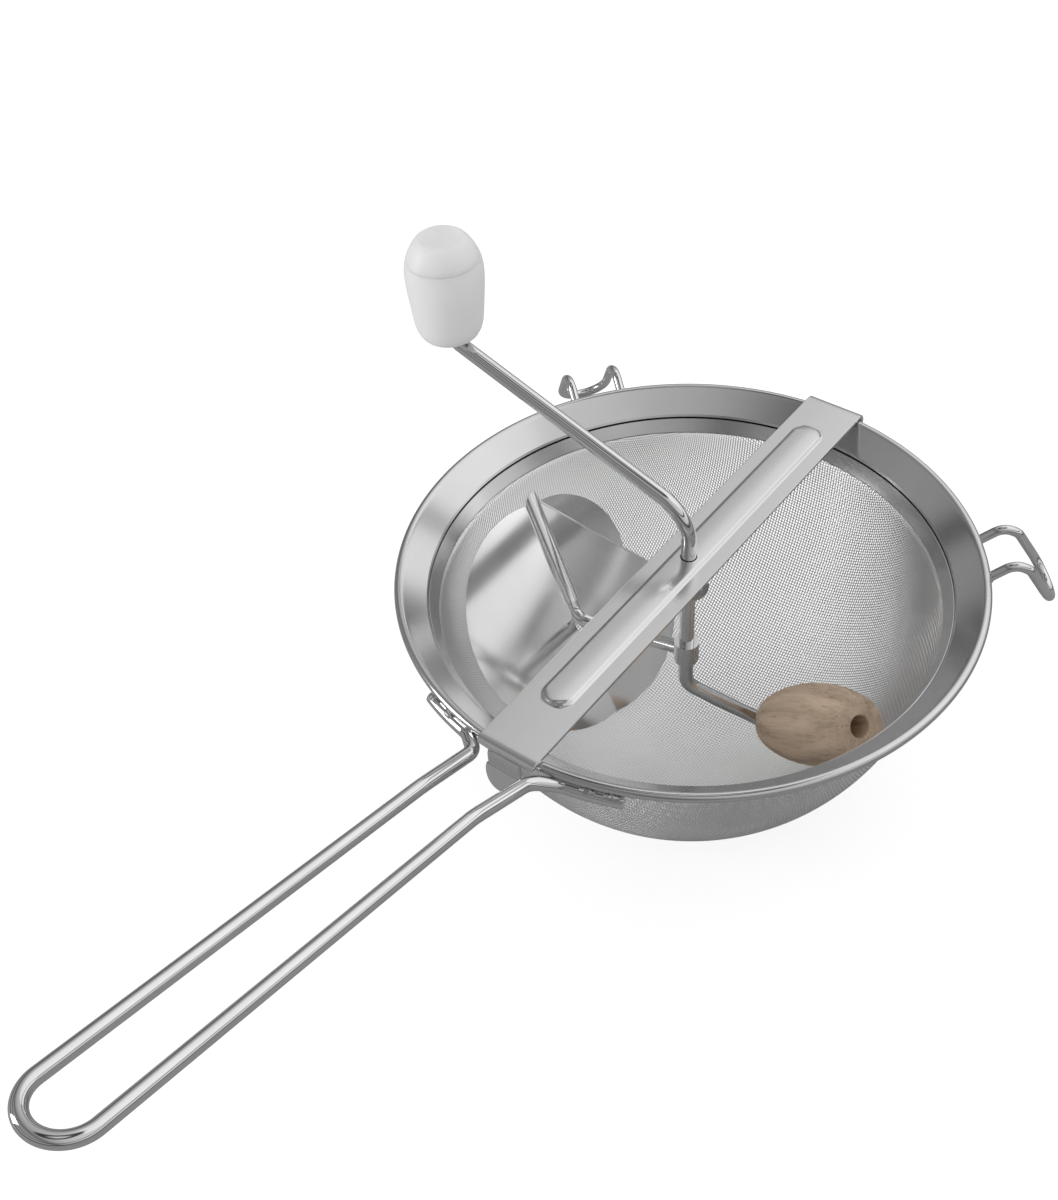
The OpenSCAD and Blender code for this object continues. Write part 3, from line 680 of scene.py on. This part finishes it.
def bar_path():
    """Rows along the bar: top-surface point (y, z), outward normal, half width and whether the rib may show."""
    rows = []
    ro = HOOK_IN + BAR_T
    for a in np.linspace(-HOOK_END, 84, 34):
        t = math.radians(a)
        rows.append(((RIM_R + ro * math.cos(t), ro * math.sin(t)), (math.cos(t), math.sin(t)), BAR_HALF, False))
    ys = list(np.arange(RIM_R, RIB_FAR + 1, -1.0)) + list(np.arange(RIB_FAR + 0.6, RIB_FAR - 8, -0.3))
    ys += list(np.arange(RIB_FAR - 9, RIB_NEAR + 9, -2.0)) + list(np.arange(RIB_NEAR + 8, RIB_NEAR - 0.6, -0.3))
    ys += list(np.arange(RIB_NEAR - 1.5, NEAR_Y, -1.5))
    rows += [((y, BAR_TOP), (0, 1), BAR_HALF, True) for y in ys]
    zc = BAR_TOP - DROP_OUT
    for a in np.linspace(90, 180, 31):
        t = math.radians(a)
        y, z = NEAR_Y + DROP_OUT * math.cos(t), zc + DROP_OUT * math.sin(t)
        half = BAR_HALF
        if z < SHOULDER_Z + SHOULDER_R:
            q = max(0.0, min(1.0, (SHOULDER_Z + SHOULDER_R - z) / SHOULDER_R))
            half = BAR_HALF - SHOULDER_R * (1 - math.sqrt(1 - q * q))
        if z <= SHOULDER_Z:
            half = TONGUE_HALF
        rows.append(((y, z), (math.cos(t), math.sin(t)), half, False))
    y0 = NEAR_Y - DROP_OUT
    for z in np.linspace(zc, zc - TONGUE_LEN + 2, 8)[1:]:
        rows.append(((y0, z), (-1, 0), TONGUE_HALF, False))
    corner = np.array([y0, zc - TONGUE_LEN + BAR_T * math.tan(TAB_LEAN / 2)])
    for q in (0.25, 0.5, 0.75):
        rows.append(((corner[0] + (q - 0.5) * -0.6, corner[1] + (0.5 - q) * 2.4),
                     (-math.cos(TAB_LEAN * q), math.sin(TAB_LEAN * q)), TONGUE_HALF, False))
    way = np.array([-math.sin(TAB_LEAN), -math.cos(TAB_LEAN)])
    nrm = (-math.cos(TAB_LEAN), math.sin(TAB_LEAN))
    for s in np.concatenate([[0.35], TAB_LEN - TAB_HALF * (1 - np.sin(np.radians(np.arange(6, 91, 4))))]):
        if s < TAB_LEN - TAB_HALF:
            half = TONGUE_HALF + (TAB_HALF - TONGUE_HALF) * min(1, s / (TAB_LEN - TAB_HALF))
        else:
            half = math.sqrt(max(0.02, TAB_HALF ** 2 - (s - TAB_LEN + TAB_HALF) ** 2))
        q = corner + way * s
        rows.append(((q[0], q[1]), nrm, half, False))
    return rows


def crossbar():
    edge = 0.28
    cols = np.concatenate([np.linspace(-1, 1, 15) * (BAR_HALF - edge),
                           np.linspace(-RIB_HALF - 0.1, -RIB_HALF + 2.0, 8),
                           np.linspace(RIB_HALF - 2.0, RIB_HALF + 0.1, 8)])
    cols = np.unique(np.round(cols, 3))
    rows = bar_path()
    verts = []
    for (y, z), (ny, nz), half, ribbed in rows:
        ring = []
        k = half / BAR_HALF
        for x in cols:
            h = rib_height(x, y) if ribbed else 0.0
            ring.append((x * k, y + ny * h, z + nz * h))
        for dx, dn in ((edge * 0.3, 0.08), (edge, edge)):
            ring.append((half - edge + dx, y - ny * dn, z - nz * dn))
        for dx, dn in ((edge, BAR_T - edge), (edge * 0.3, BAR_T - 0.08)):
            ring.append((half - edge + dx, y - ny * dn, z - nz * dn))
        for x in cols[::-1]:
            h = rib_height(x * 1.12, y) if ribbed else 0.0
            ring.append((x * k, y + ny * (h - BAR_T), z + nz * (h - BAR_T)))
        for dx, dn in ((edge * 0.3, BAR_T - 0.08), (edge, BAR_T - edge)):
            ring.append((-(half - edge + dx), y - ny * dn, z - nz * dn))
        for dx, dn in ((edge, edge), (edge * 0.3, 0.08)):
            ring.append((-(half - edge + dx), y - ny * dn, z - nz * dn))
        n = len(ring)
        verts += ring
    faces = []
    for i in range(len(rows) - 1):
        for k in range(n):
            m = (k + 1) % n
            faces.append([i * n + k, i * n + m, (i + 1) * n + m, (i + 1) * n + k])
    faces.append(list(range(n)))
    faces.append([(len(rows) - 1) * n + k for k in range(n - 1, -1, -1)])
    plug = lathe([(0.0001, -4), (BORE_R, -4), (BORE_R, 8), (0.0001, 8)], 48)
    sheet, hole = mesh_of("bar_sheet", verts, faces), mesh_of("bar_hole", *plug)
    for m in (sheet, hole):
        mend(m, 1e-6)
    ob, cut = [link(bpy.data.objects.new(m.name, m)) for m in (sheet, hole)]
    mod = ob.modifiers.new("hole", "BOOLEAN")
    mod.object, mod.operation, mod.solver = cut, "DIFFERENCE", "EXACT"
    deps = bpy.context.evaluated_depsgraph_get()
    out = bpy.data.meshes.new_from_object(ob.evaluated_get(deps))
    bpy.data.objects.remove(ob)
    bpy.data.objects.remove(cut)
    finish("clip_on_crossbar", out, BAR, "crossbar", ("crossbar",), sharp=28)


# ---------- knob ----------
KNOB_SHAPE = [(0, 0.69), (0.02, 0.745), (0.06, 0.81), (0.12, 0.866), (0.2, 0.9), (0.29, 0.925), (0.4, 0.957),
              (0.52, 0.985), (0.62, 1), (0.7, 0.992), (0.76, 0.965), (0.795, 0.936), (0.85, 0.875), (0.9, 0.803),
              (0.95, 0.71), (0.985, 0.61), (1, 0.53)]


def knob_line(a, b, n):
    """Points (r, z) of the knob's outline between heights a and b, on a smooth curve through its given points."""
    hs, rs = [q[0] * KNOB_H for q in KNOB_SHAPE], [q[1] * KNOB_R for q in KNOB_SHAPE]
    slopes = np.gradient(rs, hs)
    out = []
    for h in np.linspace(a, b, n):
        i = min(max(int(np.searchsorted(hs, h)) - 1, 0), len(hs) - 2)
        w = hs[i + 1] - hs[i]
        t = (h - hs[i]) / w
        r = ((2 * t ** 3 - 3 * t ** 2 + 1) * rs[i] + (t ** 3 - 2 * t ** 2 + t) * w * slopes[i]
             + (-2 * t ** 3 + 3 * t ** 2) * rs[i + 1] + (t ** 3 - t ** 2) * w * slopes[i + 1])
        out.append((r, h))
    return out


def knob():
    at = (-CRANK_R, 0, KNOB_Z)
    side = knob_line(0.25, SEAM_T - 0.22, 40)
    r0 = knob_line(0, 0.1, 2)[0][0]
    grip = [(BORE_R, 3.2), (4.0, 0.3), (4.3, 0.0), (5.2, 0.0), (5.4, 0.3), (5.4, 19.8), (8.6, 19.8),
            (8.6, 0.3), (8.8, 0.0), (r0 - 0.35, 0.0)] + side
    grip += [(side[-1][0] - 0.3, SEAM_T - 0.02), (9.1, SEAM_T - 0.02), (9.1, SEAM_T - 2.6),
             (7.5, SEAM_T - 2.6), (7.5, SEAM_T - 7.5), (BORE_R, SEAM_T - 7.5)]
    v, f = lathe(grip, 96)
    piece("knob_grip_shell", place(v, at), f, PLASTIC, "knob", ("knob_grip",), sharp=35)
    top = knob_line(SEAM_T + 0.2, KNOB_H - 0.15, 26)
    dish = [(r, KNOB_H + 18 - 1.9 - math.sqrt(18 ** 2 - r * r)) for r in np.linspace(7.3, 0.0001, 12)]
    cap = [(6.8, SEAM_T + 0.6), (6.8, SEAM_T - 2.4), (9.0, SEAM_T - 2.4), (9.0, SEAM_T + 0.02),
           (top[0][0] - 0.3, SEAM_T + 0.02)] + top
    cap += [(7.75, KNOB_H - 0.05)] + dish + [(0.0001, SEAM_T + 0.6)]
    v, f = lathe(cap, 96)
    piece("knob_cap_shell", place(v, at), f, PLASTIC, "knob", ("knob_cap",), sharp=35)


# ---------- roller ----------
def roller():
    half, sag = ROLLER_LEN / 2, ROLLER_R - ROLLER_END_R
    arc_r = (half * half + sag * sag) / (2 * sag)
    side = [(ROLLER_R - arc_r + math.sqrt(arc_r ** 2 - (z - half) ** 2), z)
            for z in np.linspace(1.4, ROLLER_LEN - 1.4, 60)]
    prof = [(BORE_R, 0.4), (3.45, 0.0), (ROLLER_END_R - 1.2, 0.0), (ROLLER_END_R - 0.5, 0.12),
            (ROLLER_END_R + 0.05, 0.5)] + side
    prof += [(ROLLER_END_R + 0.05, ROLLER_LEN - 0.5), (ROLLER_END_R - 0.5, ROLLER_LEN - 0.12),
             (ROLLER_END_R - 1.2, ROLLER_LEN), (4.5, ROLLER_LEN), (4.2, ROLLER_LEN - 0.35),
             (4.2, ROLLER_LEN - 11), (BORE_R, ROLLER_LEN - 11)]
    v, f = lathe(prof, 128)
    ob = piece("turned_roller", place(v, ROLLER_IN, ROLLER_DIR), f, WOOD, "roller", ("roller",),
               sharp=32)
    w = ROLLER_DIR
    u = unit(np.cross([0, 0, 1], w))
    q = np.cross(w, u)
    at = ob.data.attributes.new("grain", "FLOAT_VECTOR", "POINT")
    for i, p in enumerate(ob.data.vertices):
        d = np.array(p.co) - ROLLER_IN * MM
        at.data[i].vector = (d @ u, d @ q, d @ w)


# ---------- build ----------
rim()
clamp_ring()
woven_bowl()
handle()
for side in (1, -1):
    rest(side)
welds()
crank()
spring()
crossbar()
knob()
roller()

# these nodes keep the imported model's own shape
for node, mat in (("upper_washer", PLAIN), ("thrust_washer", PLAIN), ("knob_push_nut", PLAIN),
                  ("blade", BLADE), ("blade_arm", WIRE)):
    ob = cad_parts[node]
    ob.data.materials.clear()
    ob.data.materials.append(mat)


# ---------- floor and light ----------
def floor_paint():
    """White for the camera with a soft shadow, greyer where polished steel mirrors it."""
    m = bpy.data.materials.new("floor_paint")
    m.use_nodes = True
    m.node_tree.nodes.clear()
    t = Tree(m.node_tree)
    out = t.add("ShaderNodeOutputMaterial")
    path = t.add("ShaderNodeLightPath")
    lit = t.add("ShaderNodeBsdfDiffuse")
    lit.inputs["Color"].default_value = (0.93, 0.93, 0.93, 1)
    dim = t.add("ShaderNodeBsdfDiffuse")
    dim.inputs["Color"].default_value = (0.4, 0.4, 0.405, 1)
    glow = t.add("ShaderNodeEmission")
    glow.inputs["Color"].default_value = (1, 1, 1, 1)
    glow.inputs["Strength"].default_value = 1.48
    seen = t.blend(0.5, lit, glow)
    mirrored = t.blend(path.outputs["Is Glossy Ray"], lit, dim)
    t.put(out.inputs[0], t.blend(path.outputs["Is Camera Ray"], mirrored, seen).outputs[0])
    return m


def studio():
    low = min(cad_box[0][2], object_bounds()[0][2])
    me = bpy.data.meshes.new("floor")
    s = 6.0  # half of its side, in metres like low
    me.from_pydata([(-s, -s, low), (s, -s, low), (s, s, low), (-s, s, low)], [], [[0, 1, 2, 3]])
    me.materials.append(floor_paint())
    link(bpy.data.objects.new("floor", me))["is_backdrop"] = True

    def area(name, at, size, power):
        d = bpy.data.lights.new(name, "AREA")
        d.shape, d.size, d.size_y, d.energy = "RECTANGLE", size[0], size[1], power
        o = link(bpy.data.objects.new(name, d))
        o.location = at
        o.rotation_euler = (-Vector(at)).to_track_quat("-Z", "Y").to_euler()

    area("key", (0.4, 1.15, 1.15), (2.2, 2.2), 4.4)
    area("fill", (-1.3, -1.1, 0.42), (0.4, 1.0), 6.5)

    world = bpy.data.worlds.new("studio")
    bpy.context.scene.world = world
    world.use_nodes = True
    world.node_tree.nodes.clear()
    w = Tree(world.node_tree)
    out = w.add("ShaderNodeOutputWorld")
    co = w.add("ShaderNodeTexCoord")
    sep = w.add("ShaderNodeSeparateXYZ", Vector=co.outputs["Generated"])
    up = w.math("MULTIPLY_ADD", sep.outputs[2], 0.5, 0.5)
    stripes = w.ramp(up, [(0.0, 0.4), (0.485, 0.2), (0.51, 0.05), (0.545, 0.4), (0.58, 1.0),
                          (0.676, 1.0), (0.69, 0.16), (0.712, 0.16), (0.726, 1.0),
                          (0.955, 1.0), (0.968, 0.14), (0.988, 0.1), (1.0, 1.2)])
    side = w.add("ShaderNodeVectorMath", {"operation": "DOT_PRODUCT"})
    w.put(side.inputs[0], co.outputs["Generated"])
    side.inputs[1].default_value = (0.62, 0.62, 0.48)
    sides = w.ramp(w.math("MULTIPLY_ADD", side.outputs["Value"], 0.5, 0.5),
                   [(0.0, 0.45), (0.35, 0.32), (0.45, 0.16), (0.55, 0.38), (0.7, 0.58), (0.85, 0.7), (1.0, 0.8)])
    tone = w.math("MULTIPLY", stripes, sides)
    lit = w.add("ShaderNodeBackground", Color=tone)
    lit.inputs["Strength"].default_value = 1.0
    white = w.add("ShaderNodeBackground")
    white.inputs["Color"].default_value = (1, 1, 1, 1)
    path = w.add("ShaderNodeLightPath")
    soft = w.add("ShaderNodeBackground")
    soft.inputs["Color"].default_value = (0.66, 0.66, 0.665, 1)
    seen = w.blend(path.outputs["Is Glossy Ray"], soft, lit)
    w.put(out.inputs[0], w.blend(path.outputs["Is Camera Ray"], seen, white).outputs[0])
    bpy.context.scene.view_settings.view_transform = "Standard"


studio()
